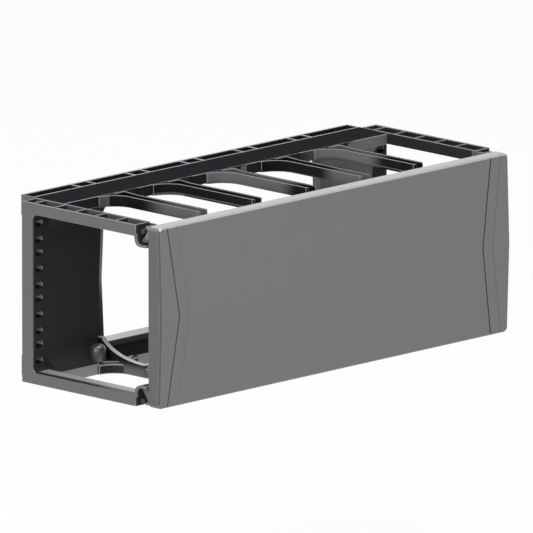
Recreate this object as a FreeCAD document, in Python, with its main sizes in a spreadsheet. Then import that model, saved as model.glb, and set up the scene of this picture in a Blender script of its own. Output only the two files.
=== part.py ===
import FreeCAD, Part
import math
import os
from FreeCAD import Placement, Rotation, Vector

# Horizontal cable manager for a 19 inch rack, four rack units high, with a cover hinged at both edges.
# Pieces are drawn with Y at 0 on the rack face, falling towards the front; X is 0 in the middle.

SIZES = [
    ("rack_width", 482.6, "width over both end frames"),
    ("column_inset", 8.75, "outer edge to a rack hole column"),
    ("unit_height", 44.45, "height of one rack unit"),
    ("rack_units", 4, "rack units taken"),
    ("unit_gap", 1.8, "height left free for the neighbours"),
    ("hole_low", 6.35, "edge of a rack unit to its first hole"),
    ("hole_step", 15.875, "distance between the holes of a rack unit"),
    ("arm_width", 20.0, "width of an end frame"),
    ("arm_height", 11.2, "height of an arm"),
    ("arm_reach", 151.7, "rack face to the front end of the arms"),
    ("post_depth", 14.5, "depth of the post that joins both arms"),
    ("corner_round", 5.0, "inner corner radius of an end frame"),
    ("cell_count", 5, "open cells along an arm"),
    ("cell_depth", 9.0, "depth of an arm cell"),
    ("wall", 2.2, "thickness of moulded walls and ribs"),
    ("slot_width", 10.0, "width of a rack screw slot"),
    ("slot_height", 6.8, "height of a rack screw slot"),
    ("wing_inset", 93.8, "outer edge to the inner edge of a rear wing"),
    ("wing_waist", 4.0, "depth of the shallow V in the inner edge of a wing"),
    ("wing_thick", 4.0, "thickness of a rear wing"),
    ("wing_rim", 3.0, "width of the rim along the inner edge of a wing"),
    ("rail_depth", 34.0, "rack face to the front of a rail"),
    ("lip_height", 10.5, "height of the front lip of a rail"),
    ("ridge_reach", 20.5, "rear ridge behind the rack face"),
    ("ridge_depth", 18.0, "depth of the rear ridge that holds the pockets"),
    ("brow_depth", 20.0, "rack face to the bend of the curved rail top"),
    ("brow_height", 0.3, "fall of the rail top at its bend"),
    ("cove_round", 7.0, "radius of the cove between a rail and its ridge"),
    ("ridge_foot", 1.3, "flat edge below that cove"),
    ("sweep_edge", 1.0, "lip left in front of the sweep of a wing"),
    ("rail_wall", 2.5, "wall of a cored rail"),
    ("pocket_depth", 3.5, "depth of the ridge pockets"),
    ("pocket_short", 20.0, "length of the short pocket behind each finger"),
    ("finger_count", 5, "fingers on each edge"),
    ("finger_margin", 74.6, "end frame to the middle of the first finger"),
    ("finger_width", 13.0, "width of a finger"),
    ("finger_height", 11.5, "height of a finger"),
    ("tip_gap", 1.0, "finger tip behind the arm ends"),
    ("finger_drop", 1.2, "finger top below the arm tops"),
    ("flare_round", 20.0, "radius where a finger flares into its rail"),
    ("flare_lip", 2.0, "thickness of the flared root where it ends on the rail"),
    ("channel_flare", 3.0, "widening of a finger channel at its root"),
    ("finger_chamfer", 2.6, "slope along the inner edges of a finger"),
    ("tip_cut", 3.0, "corner cut at a finger tip"),
    ("tip_mouth", 6.0, "depth of the open end of a finger channel"),
    ("window_width", 6.0, "width of the windows near a finger tip"),
    ("window_length", 14.0, "length of the long window near a finger tip"),
    ("window_start", 10.0, "finger tip to the first window"),
    ("window_bar", 2.0, "bar between the two windows"),
    ("cover_inset", 3.1, "outer edge to the cover end"),
    ("cover_margin", 0.3, "cover edge inside the height of the arms"),
    ("cover_rim", 14.0, "depth of the cover at its edges"),
    ("cover_ridge", 3.0, "height of the ridge along the middle of the cover"),
    ("cover_gap", 14.2, "arm end to the rear edge of the cover"),
    ("cover_wall", 2.5, "wall of the cover"),
    ("cover_corner", 5.0, "corner radius of the cover"),
    ("cover_edge", 2.0, "edge radius round the cover front"),
    ("chevron_end", 24.5, "cover end to the chevron line at top and bottom"),
    ("chevron_middle", 38.5, "cover end to the chevron line at the ridge"),
    ("chevron_step", 13.5, "distance between the two chevron lines"),
    ("chevron_width", 1.4, "width of a chevron line"),
    ("chevron_depth", 0.8, "depth of a chevron line"),
    ("axis_gap", 7.5, "arm end to the hinge axes"),
    ("axis_inset", 6.0, "hinge axis below the arm tops"),
    ("pin_radius", 2.5, "radius of a hinge pin"),
    ("pin_clearance", 0.05, "running clearance round a hinge pin"),
    ("cheek_radius", 5.0, "radius of the lug round a hinge pin"),
    ("cheek_thick", 3.0, "thickness of the lug round a hinge pin"),
    ("cradle_gap", 13.5, "arm end to the front of a hinge cradle"),
    ("cradle_round", 7.0, "outer radius of a hinge cradle"),
    ("knuckle_width", 9.0, "width of a cover knuckle"),
    ("knuckle_radius", 5.0, "outer radius of a cover knuckle"),
    ("knuckle_gap", 0.5, "side gap beside a cover knuckle"),
    ("mouth_gap", 0.4, "knuckle jaw ends ahead of the pin middle"),
    ("seat_depth", 5.0, "front edge of the cover to the seat of the knuckles"),
    ("stem_height", 6.0, "height of a knuckle stem"),
    ("tail_reach", 4.4, "knuckle tail behind the hinge axis"),
    ("tail_drop", 11.6, "knuckle tail below the hinge axis"),
    ("tail_round", 2.0, "corner radius of a knuckle tail"),
    ("tail_clearance", 1.2, "clearance below a knuckle tail"),
]

doc = FreeCAD.newDocument("CableManager")
sheet = doc.addObject("Spreadsheet::Sheet", "Sizes")
for row, (alias, value, note) in enumerate(SIZES, start=1):
    sheet.set(f"A{row}", note)
    sheet.set(f"B{row}", str(value))
    sheet.setAlias(f"B{row}", alias)
doc.recompute()


def size(alias):
    return float(sheet.get(alias))


def cell(alias):
    return f"<<Sizes>>.{alias}"


def total(*aliases):
    """Expression that adds up cells of the sheet."""
    return " + ".join(cell(alias) for alias in aliases)


HEIGHT = size("unit_height") * size("rack_units") - size("unit_gap")
HALF_WIDTH = size("rack_width") / 2
ARM_INNER = HALF_WIDTH - size("arm_width")
COVER_HALF = HALF_WIDTH - size("cover_inset")
WALL = size("wall")
ARM_Y = -size("arm_reach")
TIP_Y = ARM_Y + size("tip_gap")
AXIS_Y = ARM_Y - size("axis_gap")
RIM_Y = ARM_Y - size("cover_gap")
FRONT_Y = RIM_Y - size("cover_rim")
SEAT_Y = FRONT_Y + size("seat_depth")
BORE = size("pin_radius") + size("pin_clearance")
LIP_FOOT = size("finger_drop") + size("lip_height")
RIDGE_FOOT = LIP_FOOT + size("cove_round") + size("ridge_foot")
RIDGE_Y = size("ridge_reach") - size("ridge_depth")
CRADLE_FOOT = size("axis_inset") + size("tail_drop") + size("tail_clearance") + WALL
COVER_WIDTH = f"{cell('rack_width')} - 2 * {cell('cover_inset')}"
FRONT_REACH = total("arm_reach", "cover_gap", "cover_rim", "cover_ridge")
SIDES = (("left", -1), ("right", 1))
EDGES = (("top", 1), ("bottom", -1))
TINY = 1e-6
SOFT_SHARE = 0.9

pieces = []


# Drawing helpers

def new_body(name):
    """A body for one piece, moved so that the whole part is centred front to back."""
    body = doc.addObject("PartDesign::Body", name)
    body.Label = name
    body.setExpression(".Placement.Base.y", f"({FRONT_REACH} - {cell('ridge_reach')}) / 2")
    pieces.append(body)
    return body


def rounded(corners):
    """Closed outline through (x, y, radius) corners."""
    count = len(corners)
    trims = []
    for i, (x, y, radius) in enumerate(corners):
        here = Vector(x, y, 0)
        back = (Vector(*corners[i - 1][:2], 0) - here).normalize()
        ahead = (Vector(*corners[(i + 1) % count][:2], 0) - here).normalize()
        half = back.getAngle(ahead) / 2
        reach = radius / math.tan(half)
        inward = (back + ahead).normalize() if radius else Vector()
        middle = here + inward * (radius / math.sin(half) - radius)
        trims.append((here + back * reach, middle, here + ahead * reach))
    curves = []
    for i, (start, middle, end) in enumerate(trims):
        before = trims[i - 1][2]
        if (start - before).Length > TINY:
            curves.append(Part.LineSegment(before, start))
        if corners[i][2]:
            curves.append(Part.Arc(start, middle, end))
    return curves


def soft_round(before, corner, after):
    """Largest radius, a little short of the shorter side, that fits a corner."""
    back = Vector(*before, 0) - Vector(*corner, 0)
    ahead = Vector(*after, 0) - Vector(*corner, 0)
    return SOFT_SHARE * min(back.Length, ahead.Length) * math.tan(back.getAngle(ahead) / 2)


def rectangle(x0, y0, x1, y1, radius=0):
    return rounded([(x0, y0, radius), (x1, y0, radius), (x1, y1, radius), (x0, y1, radius)])


def circle(x, y, radius):
    return [Part.Circle(Vector(x, y, 0), Vector(0, 0, 1), radius)]


def sketch_on(body, role, offset, curves):
    """Sketch on an origin plane of the body, moved along the plane's normal."""
    sketch = body.newObject("Sketcher::SketchObject", f"{body.Name}_sketch")
    plane = next(item for item in body.Origin.OriginFeatures if item.Role == role)
    sketch.AttachmentSupport = [(plane, "")]
    sketch.MapMode = "FlatFace"
    sketch.AttachmentOffset = Placement(Vector(0, 0, offset), Rotation())
    for curve in curves:
        sketch.addGeometry(curve)
    return sketch


def feature_of(body, kind, sketch, length, backwards):
    """Pad or Pocket whose length is bound to the sheet; a Pocket has to take material away."""
    before = body.Shape.Volume if kind == "Pocket" else 0
    feature = body.newObject(f"PartDesign::{kind}", f"{body.Name}_{kind.lower()}")
    feature.Profile = sketch
    feature.setExpression("Length", length)
    feature.Reversed = backwards
    doc.recompute()
    if kind == "Pocket" and body.Shape.Volume > before - TINY:
        raise RuntimeError(f"{body.Label}: a pocket cut nothing")
    return feature


def pad(body, role, offset, curves, length, backwards=False):
    return feature_of(body, "Pad", sketch_on(body, role, offset, curves), length, backwards)


def pocket(body, role, offset, curves, length, backwards=False):
    return feature_of(body, "Pocket", sketch_on(body, role, offset, curves), length, backwards)


def dress_edges(body, kind, value, amount, wanted):
    """Fillet or Chamfer on the edges that the test picks, its size bound to the sheet."""
    base = body.Tip
    names = [f"Edge{i}" for i, edge in enumerate(base.Shape.Edges, start=1) if wanted(edge)]
    feature = body.newObject(f"PartDesign::{kind}", f"{body.Name}_{kind.lower()}")
    feature.Base = (base, names)
    feature.setExpression(value, amount)
    doc.recompute()


def fillet(body, radius, wanted):
    dress_edges(body, "Fillet", "Radius", radius, wanted)


def bevel(body, amount, wanted):
    dress_edges(body, "Chamfer", "Size", amount, wanted)


def level(edge, up):
    """Height measured from the arm tops of the top edge, or from the base for the bottom edge."""
    return HEIGHT - edge if up > 0 else edge


def flipped(corners, up):
    """The same outline in the Y Z plane for the top edge, or mirrored for the bottom edge."""
    return corners if up > 0 else [(y, HEIGHT - z, r) for y, z, r in corners]


# End frames: post, two cored arms, hinge cradles and lugs

def rack_hole_heights():
    """Heights of the rack holes that are free between the arms."""
    heights = []
    for unit in range(int(size("rack_units"))):
        low = unit * size("unit_height") + size("hole_low") - size("unit_gap") / 2
        heights += [low, low + size("hole_step"), low + 2 * size("hole_step")]
    return heights[1:-1]


def arm_cells(side):
    """Open cells of an arm and of the corner over the post, in the X Y plane."""
    outer = side * (HALF_WIDTH - WALL)
    inner = side * (ARM_INNER + WALL)
    first = size("post_depth")
    pitch = (-ARM_Y - first - WALL) / size("cell_count")
    curves = rectangle(outer, -WALL, inner, -(first - WALL))
    for i in range(int(size("cell_count"))):
        start = first + i * pitch + WALL / 2
        curves += rectangle(outer, -start, inner, -(start + pitch - WALL))
    return curves


def end_frame(name, side):
    body = new_body(f"{name}_end_frame")
    x0 = min(side * HALF_WIDTH, side * ARM_INNER)
    front = ARM_Y
    arm = size("arm_height")
    post = -size("post_depth")
    r = size("corner_round")
    pad(body, "YZ_Plane", x0, rounded([
        (0, 0, 0), (0, HEIGHT, 0), (front, HEIGHT, 0), (front, HEIGHT - arm, 0),
        (post, HEIGHT - arm, r), (post, arm, r), (front, arm, 0), (front, 0, 0),
    ]), cell("arm_width"))
    pocket(body, "XY_Plane", HEIGHT, arm_cells(side), cell("cell_depth"))
    pocket(body, "XY_Plane", 0, arm_cells(side), cell("cell_depth"), True)
    slots = []
    column = side * (HALF_WIDTH - size("column_inset"))
    half_w = size("slot_width") / 2
    half_h = size("slot_height") / 2
    for z in rack_hole_heights():
        slots += rectangle(column - half_w, z - half_h, column + half_w, z + half_h, half_h)
    pocket(body, "XZ_Plane", 0, slots, cell("post_depth"), True)
    cheek_x = ARM_INNER if side > 0 else -ARM_INNER - size("cheek_thick")
    for edge, up in EDGES:
        hinge_cradle(body, x0, up)
        hinge_cheek(body, cheek_x, up, size("pin_radius") if up > 0 else BORE)


def hinge_cradle(body, x0, up):
    """J-shaped trough under the front end of an arm, where a cover knuckle drops in."""
    back = ARM_Y
    top = HEIGHT - size("arm_height") + WALL
    bottom = HEIGHT - CRADLE_FOOT
    front = ARM_Y - size("cradle_gap")
    outer_round = size("cradle_round")
    corners = [
        (back + WALL, top, 0), (back, bottom, outer_round), (front, bottom, 0), (front, bottom + WALL, 0),
        (back - WALL, bottom + WALL, outer_round - WALL), (back - WALL, top, 0),
    ]
    pad(body, "YZ_Plane", x0, rounded(flipped(corners, up)), cell("arm_width"))


def hinge_cheek(body, x0, up, bore):
    """Round lug that carries a hinge pin, at the inner side of an arm end."""
    r = size("cheek_radius")
    z = HEIGHT - size("axis_inset")
    root = ARM_Y + WALL
    corners = [(root, z - r, 0), (AXIS_Y - r, z - r, r), (AXIS_Y - r, z + r, r), (root, z + r, 0)]
    curves = rounded(flipped(corners, up)) + circle(AXIS_Y, level(size("axis_inset"), up), bore)
    pad(body, "YZ_Plane", x0, curves, cell("cheek_thick"))


# Rear wings beside the rear opening, which sweep forward into both rails

def rear_wing(name, side):
    body = new_body(f"{name}_rear_wing")
    outer = side * ARM_INNER
    inner = side * (HALF_WIDTH - size("wing_inset"))
    waist = inner + side * size("wing_waist")
    rim = side * size("wing_rim")
    low = LIP_FOOT
    high = HEIGHT - low
    edge = [(inner, high, 0), (waist, HEIGHT / 2, 0), (inner, low, 0)]
    y = size("post_depth") - size("wing_thick")
    pad(body, "XZ_Plane", y, rounded([(outer, low, 0), (outer, high, 0)] + edge), cell("wing_thick"))
    strip = edge + [(x + rim, z, 0) for x, z, _ in reversed(edge)]
    clear = size("cove_round") - RIDGE_Y
    reach = f"{total('post_depth', 'ridge_reach')} - ({total('ridge_depth', 'cove_round')})"
    pad(body, "XZ_Plane", clear, rounded(strip), reach)
    for _, up in EDGES:
        wing_sweep(body, min(outer, inner), up)


def wing_sweep(body, x0, up):
    """Concave sweep from the front of a wing to the lip of a rail."""
    back = -size("post_depth")
    r = size("rail_depth") - size("sweep_edge") - size("post_depth")
    foot = level(LIP_FOOT, up)
    top = level(LIP_FOOT + r, up)
    turn = r * (1 - math.sqrt(0.5))
    corner = Vector(back, foot, 0)
    start = Vector(back - r, foot, 0)
    end = Vector(back, top, 0)
    middle = Vector(back - turn, level(LIP_FOOT + turn, up), 0)
    curves = [Part.LineSegment(corner, start), Part.Arc(start, middle, end), Part.LineSegment(end, corner)]
    pad(body, "YZ_Plane", x0, curves, f"{cell('wing_inset')} - {cell('arm_width')}")


# Rear rails: a pocketed ridge behind the rack face and a curved shelf with a lip, cored from the rear

def finger_middles():
    first = ARM_INNER - size("finger_margin")
    count = int(size("finger_count"))
    return [first * (2 * i / (count - 1) - 1) for i in range(count)]


def rail_pockets():
    """Pockets along the rear ridge: a short one behind each finger and a long one between."""
    half = size("pocket_short") / 2
    edges = [-ARM_INNER]
    for middle in finger_middles():
        edges += [middle - half, middle + half]
    edges.append(ARM_INNER)
    curves = []
    for left, right in zip(edges[:-1], edges[1:]):
        curves += rectangle(left + WALL / 2, RIDGE_Y + WALL, right - WALL / 2, size("ridge_reach") - WALL)
    return curves


def rail_cores(up, near, far):
    """Cores between two depths below the arm tops, one from each finger to the next."""
    edges = [-ARM_INNER] + finger_middles() + [ARM_INNER]
    curves = []
    for left, right in zip(edges[:-1], edges[1:]):
        curves += rectangle(left + WALL / 2, level(near, up), right - WALL / 2, level(far, up))
    return curves


def rail(name, up):
    body = new_body(f"{name}_rail")
    back = size("ridge_reach")
    foot = HEIGHT - RIDGE_FOOT
    lip = HEIGHT - size("finger_drop")
    under = HEIGHT - LIP_FOOT
    brow = -size("brow_depth")
    bend = HEIGHT - size("brow_height")
    front = -size("rail_depth")
    crown = soft_round((RIDGE_Y, HEIGHT), (brow, bend), (front, lip))
    corners = [
        (back, foot, 0), (back, HEIGHT, 0), (RIDGE_Y, HEIGHT, 0), (brow, bend, crown), (front, lip, 0),
        (front, under, 0), (RIDGE_Y, under, size("cove_round")), (RIDGE_Y, foot, 0),
    ]
    length = f"{cell('rack_width')} - 2 * {cell('arm_width')}"
    pad(body, "YZ_Plane", -ARM_INNER, rounded(flipped(corners, up)), length)
    pocket(body, "XY_Plane", level(0, up), rail_pockets(), cell("pocket_depth"), up < 0)
    wall = size("rail_wall")
    upper = rail_cores(up, size("pocket_depth") + WALL, LIP_FOOT - wall)
    deep = f"{total('ridge_reach', 'rail_depth')} - {cell('rail_wall')}"
    pocket(body, "XZ_Plane", -back, upper, deep, True)
    lower = rail_cores(up, LIP_FOOT - wall + WALL, RIDGE_FOOT - wall)
    pocket(body, "XZ_Plane", -back, lower, f"{cell('ridge_depth')} - {cell('rail_wall')}", True)


# Fingers: channels open to the outside, with roots that flare into their rail

def finger_outline(x):
    """Plan outline of a finger: root, flares, sides and a cut tip."""
    half = size("finger_width") / 2
    r = size("flare_round")
    root = -size("rail_depth")
    lip = root - size("flare_lip")
    straight = lip - r
    cut = size("tip_cut")
    turn = r * (1 - math.sqrt(0.5))
    curves = [Part.LineSegment(Vector(x - half + cut, TIP_Y, 0), Vector(x + half - cut, TIP_Y, 0))]
    for side in (-1, 1):
        path = [(half - cut, TIP_Y), (half, TIP_Y + cut), (half, straight), (half + r, lip), (half + r, root)]
        toe, shoulder, start, end, corner = [Vector(x + side * dx, y, 0) for dx, y in path]
        middle = Vector(x + side * (half + turn), lip - turn, 0)
        curves += [Part.LineSegment(toe, shoulder), Part.LineSegment(shoulder, start)]
        curves += [Part.Arc(start, middle, end), Part.LineSegment(end, corner)]
    curves.append(Part.LineSegment(Vector(x - half - r, root, 0), Vector(x + half + r, root, 0)))
    return curves


def finger_channel(x):
    """Plan outline of the channel in a finger, a little wider at the root."""
    half = size("finger_width") / 2 - WALL
    wide = half + size("channel_flare")
    root = -size("rail_depth") - WALL
    straight = -size("rail_depth") - size("flare_lip") - size("flare_round")
    tip = TIP_Y + WALL
    corners = [(-half, tip), (half, tip), (half, straight), (wide, root), (-wide, root), (-half, straight)]
    return rounded([(x + dx, y, 0) for dx, y in corners])


def finger_windows(x):
    """Two windows in the floor of the channel near the tip."""
    half = size("window_width") / 2
    near = TIP_Y + size("window_start")
    bar = near + size("window_width") / 2
    far = bar + size("window_bar")
    short = rectangle(x - half, near, x + half, bar)
    return short + rectangle(x - half, far, x + half, far + size("window_length"))


def finger(name, up, x):
    body = new_body(name)
    outer = level(size("finger_drop"), up)
    inner = level(size("finger_drop") + size("finger_height"), up)
    pad(body, "XY_Plane", outer, finger_outline(x), cell("finger_height"), up > 0)
    rail_face = -size("rail_depth") - size("flare_lip") / 2

    def is_inner_edge(edge):
        return is_level(edge, inner) and edge.CenterOfMass.y < rail_face

    bevel(body, cell("finger_chamfer"), is_inner_edge)
    channel = f"{cell('finger_height')} - {cell('wall')}"
    pocket(body, "XY_Plane", outer, finger_channel(x), channel, up < 0)
    mouth = size("finger_width") / 2 - WALL
    end = rectangle(x - mouth, TIP_Y, x + mouth, TIP_Y + 2 * WALL)
    pocket(body, "XY_Plane", outer, end, cell("tip_mouth"), up < 0)
    pocket(body, "XY_Plane", outer, finger_windows(x), cell("finger_height"), up < 0)


def is_level(edge, z):
    """True for an edge that lies flat at a height."""
    return all(abs(vertex.Z - z) < TINY for vertex in edge.Vertexes) and abs(edge.CenterOfMass.z - z) < TINY


# Cover: ridged hollow front with chevron lines

def cover():
    body = new_body("cover")
    low = size("cover_margin")
    high = HEIGHT - low
    front = FRONT_Y
    ridge = front - size("cover_ridge")
    half = COVER_HALF
    wall = size("cover_wall")
    pad(body, "YZ_Plane", -half, rounded([
        (RIM_Y, low, 0), (front, low, 0), (ridge, HEIGHT / 2, 0), (front, high, 0), (RIM_Y, high, 0),
    ]), COVER_WIDTH)
    fillet(body, cell("cover_corner"), is_corner_edge)
    bevel(body, cell("cover_edge"), is_front_edge)
    pocket(body, "YZ_Plane", -half + wall, rounded([
        (RIM_Y, low + wall, 0), (front + wall, low + wall, 0), (ridge + wall, HEIGHT / 2, 0),
        (front + wall, high - wall, 0), (RIM_Y, high - wall, 0),
    ]), f"{COVER_WIDTH} - 2 * {cell('cover_wall')}", True)
    boss_height = size("axis_inset") + size("knuckle_radius") - low - wall
    for _, side in SIDES:
        outer = side * (half - wall)
        inner = outer - side * (size("knuckle_width") + 2 * size("knuckle_gap"))
        for _, up in EDGES:
            z0 = level(low + wall, up)
            z1 = level(low + wall + boss_height, up)
            pad(body, "XZ_Plane", -SEAT_Y, rectangle(outer, z0, inner, z1),
                f"{cell('seat_depth')} - {cell('cover_wall')} / 2")
    for _, side in SIDES:
        for step in (0, size("chevron_step")):
            chevron_line(body, side, step)


def is_corner_edge(edge):
    """Edges along the depth at the four corners of the cover."""
    along = edge.Vertexes[0].Point - edge.Vertexes[-1].Point
    return abs(along.y) > 1 and abs(along.x) < TINY and abs(along.z) < TINY


def is_front_edge(edge):
    """Edges round the front face, apart from the ridge line."""
    on_front = all(vertex.Y < FRONT_Y + TINY for vertex in edge.Vertexes)
    across = abs(edge.Vertexes[0].X - edge.Vertexes[-1].X) > COVER_HALF
    is_ridge = across and abs(edge.CenterOfMass.z - HEIGHT / 2) < 1
    return on_front and not is_ridge


def chevron_line(body, side, step):
    """Shallow V line that follows both slopes of the cover front."""
    low = size("cover_margin")
    half_width = size("chevron_width")
    lift = size("chevron_depth")
    end = COVER_HALF - size("chevron_end") + step
    middle = COVER_HALF - size("chevron_middle") + step
    stations = [(low, end, 0), (HEIGHT / 2, middle, size("cover_ridge")), (HEIGHT - low, end, 0)]
    sections = []
    for z, place, rise in stations:
        x = side * place
        y = FRONT_Y - rise
        corners = [(x - half_width, y - lift, 0), (x + half_width, y - lift, 0), (x, y + lift, 0)]
        sections.append(sketch_on(body, "XY_Plane", z, rounded(corners)))
    loft = body.newObject("PartDesign::SubtractiveLoft", f"{body.Name}_chevron")
    loft.Profile = sections[0]
    loft.Sections = sections[1:]
    loft.Ruled = True
    doc.recompute()


# Hinge pins and cover knuckles

def hinge_pin(name, side, up):
    body = new_body(name)
    outer = HALF_WIDTH - WALL
    x0 = ARM_INNER if side > 0 else -outer
    pad(body, "YZ_Plane", x0, circle(AXIS_Y, level(size("axis_inset"), up), size("pin_radius")),
        f"{cell('arm_width')} - {cell('wall')}")


def knuckle(name, side, up):
    """Half ring open to the rear, with a stem that seats on the boss inside the cover and a tail."""
    body = new_body(name)
    z = HEIGHT - size("axis_inset")
    outer = size("knuckle_radius")
    mouth = AXIS_Y - size("mouth_gap")
    stem = size("stem_height") / 2
    seat = SEAT_Y
    reach = math.sqrt(outer ** 2 - size("mouth_gap") ** 2)
    bore_reach = math.sqrt(BORE ** 2 - size("mouth_gap") ** 2)
    stem_reach = math.sqrt(outer ** 2 - stem ** 2)
    mirror = 1 if up > 0 else -1
    middle_z = z if up > 0 else HEIGHT - z

    def at(y, dz):
        return Vector(y, middle_z + mirror * dz, 0)

    slant = outer * math.sqrt(0.5)
    curves = [
        Part.LineSegment(at(mouth, bore_reach), at(mouth, reach)),
        Part.Arc(at(mouth, reach), at(AXIS_Y - slant, slant), at(AXIS_Y - stem_reach, stem)),
        Part.LineSegment(at(AXIS_Y - stem_reach, stem), at(seat, stem)),
        Part.LineSegment(at(seat, stem), at(seat, -stem)),
        Part.LineSegment(at(seat, -stem), at(AXIS_Y - stem_reach, -stem)),
        Part.Arc(at(AXIS_Y - stem_reach, -stem), at(AXIS_Y - slant, -slant), at(mouth, -reach)),
        Part.LineSegment(at(mouth, -reach), at(mouth, -bore_reach)),
        Part.Arc(at(mouth, -bore_reach), at(AXIS_Y - BORE, 0), at(mouth, bore_reach)),
    ]
    inside = COVER_HALF - size("cover_wall") - size("knuckle_gap")
    x0 = inside - size("knuckle_width") if side > 0 else -inside
    pad(body, "YZ_Plane", x0, curves, cell("knuckle_width"))
    jaw = (outer + BORE) / 2
    r = size("tail_round")
    back = AXIS_Y + size("tail_reach")
    foot = z - size("tail_drop")
    tail = [
        (mouth, z - jaw, 0), (back, foot + r, 0), (back, foot, r), (AXIS_Y - stem / 2, foot, r),
        (AXIS_Y - outer, z - outer, r / 2), (AXIS_Y - jaw, z - stem / 2, 0),
    ]
    pad(body, "YZ_Plane", x0, rounded(flipped(tail, up)), cell("knuckle_width"))


for side_name, side in SIDES:
    end_frame(side_name, side)
    rear_wing(side_name, side)
for edge_name, up in EDGES:
    rail(edge_name, up)
    for number, middle in enumerate(finger_middles(), start=1):
        finger(f"{edge_name}_finger_{number}", up, middle)
cover()
for edge_name, up in (("upper", 1), ("lower", -1)):
    for side_name, side in SIDES:
        hinge_pin(f"{edge_name}_{side_name}_pin", side, up)
        knuckle(f"{edge_name}_{side_name}_knuckle", side, up)

doc.recompute()
for item in doc.Objects:
    if "Invalid" in item.State or "Error" in item.State:
        raise RuntimeError(f"{item.Label} failed: {item.State}")
for body in pieces:
    if body.Shape.isNull() or not body.Shape.isValid():
        raise RuntimeError(f"{body.Label} has no valid shape")

os.makedirs("parts", exist_ok=True)
for body in pieces:
    body.Shape.exportStep(f"parts/{body.Label}.step")
    print(body.Label, len(body.Shape.Solids), round(body.Shape.Volume / 1000, 2))
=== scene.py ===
"""Looks of a four unit rack cable manager: open finger frame behind a ridged, hinged cover."""

import logging
import math
from dataclasses import dataclass, field
from enum import Enum

import bmesh
import bpy
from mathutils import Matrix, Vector


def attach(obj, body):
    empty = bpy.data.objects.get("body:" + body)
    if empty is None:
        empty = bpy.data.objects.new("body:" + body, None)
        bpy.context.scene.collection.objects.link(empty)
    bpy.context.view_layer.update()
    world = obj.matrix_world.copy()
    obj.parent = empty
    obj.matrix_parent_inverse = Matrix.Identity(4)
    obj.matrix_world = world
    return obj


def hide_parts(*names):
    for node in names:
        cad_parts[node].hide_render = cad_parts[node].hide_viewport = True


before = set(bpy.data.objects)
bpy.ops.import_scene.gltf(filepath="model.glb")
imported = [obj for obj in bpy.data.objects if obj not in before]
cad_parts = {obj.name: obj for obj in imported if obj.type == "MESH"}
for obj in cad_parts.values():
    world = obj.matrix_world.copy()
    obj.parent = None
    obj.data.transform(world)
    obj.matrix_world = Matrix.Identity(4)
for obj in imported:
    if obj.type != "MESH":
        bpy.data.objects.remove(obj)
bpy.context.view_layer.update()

logging.basicConfig(level=logging.INFO, format="%(message)s")
log = logging.getLogger("cable_manager")

Colour = tuple[float, float, float]
Triple = tuple[float, float, float]
Span = tuple[float, float]

FAR = 1.0  # beyond the part on every side, in metres
SLACK = 0.0002  # half the thickness of a box round a flat face
MARGIN = 0.001  # how far a box reaches past a face that it shall hold
ALL: Span = (-FAR, FAR)
UP: Triple = (0.0, 0.0, 1.0)
FRONT: Triple = (0.0, -1.0, 0.0)
REAR: Triple = (0.0, 1.0, 0.0)
LEFT: Triple = (-1.0, 0.0, 0.0)
RIGHT: Triple = (1.0, 0.0, 0.0)
LEFT_FRONT: Triple = (-0.7, -0.7, 0.0)
LEFT_DOWN: Triple = (-0.8, 0.0, -0.6)
LEFT_FRONT_UP: Triple = (-0.5, -0.7, 0.5)
FRONT_UP: Triple = (0.0, -0.7, 0.7)

MERGE_DISTANCE = 2e-6
FLAT_ANGLE = math.radians(0.6)
SHARP_ANGLE = math.radians(28.0)
SMOOTH_ANGLE = math.radians(32)
BLOCK_ANGLE = math.radians(40)
GRAIN_DEPTH = 0.0002


class Rider(Enum):
    """Bodies that a piece can ride on."""

    FRAME = "frame"
    LOWER_PINS = "lower_pins"
    COVER = "cover"


class Slot(Enum):
    """Material slots of the record."""

    FRAME_BLACK = "frame_black"
    COVER_CHARCOAL = "cover_charcoal"
    PIN_BLACK = "pin_black"


class GroupName(Enum):
    """Shared shader node groups."""

    GRAIN = "moulded_grain"
    TONE = "tone_along"


def new_group(name: GroupName, inputs: list[tuple[str, str, object]],
              outputs: list[tuple[str, str]]) -> bpy.types.ShaderNodeTree:
    """Make an empty shader node group with named sockets.

    Args:
        name: Name of the group.
        inputs: Name, socket type and default value of each input.
        outputs: Name and socket type of each output.

    Returns:
        The new group, with its Group Input and Group Output nodes.
    """
    group = bpy.data.node_groups.new(name.value, "ShaderNodeTree")
    for label, kind, value in inputs:
        socket = group.interface.new_socket(label, in_out="INPUT", socket_type=kind)
        socket.default_value = value
    for label, kind in outputs:
        group.interface.new_socket(label, in_out="OUTPUT", socket_type=kind)
    group.nodes.new("NodeGroupInput")
    group.nodes.new("NodeGroupOutput")
    return group


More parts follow.
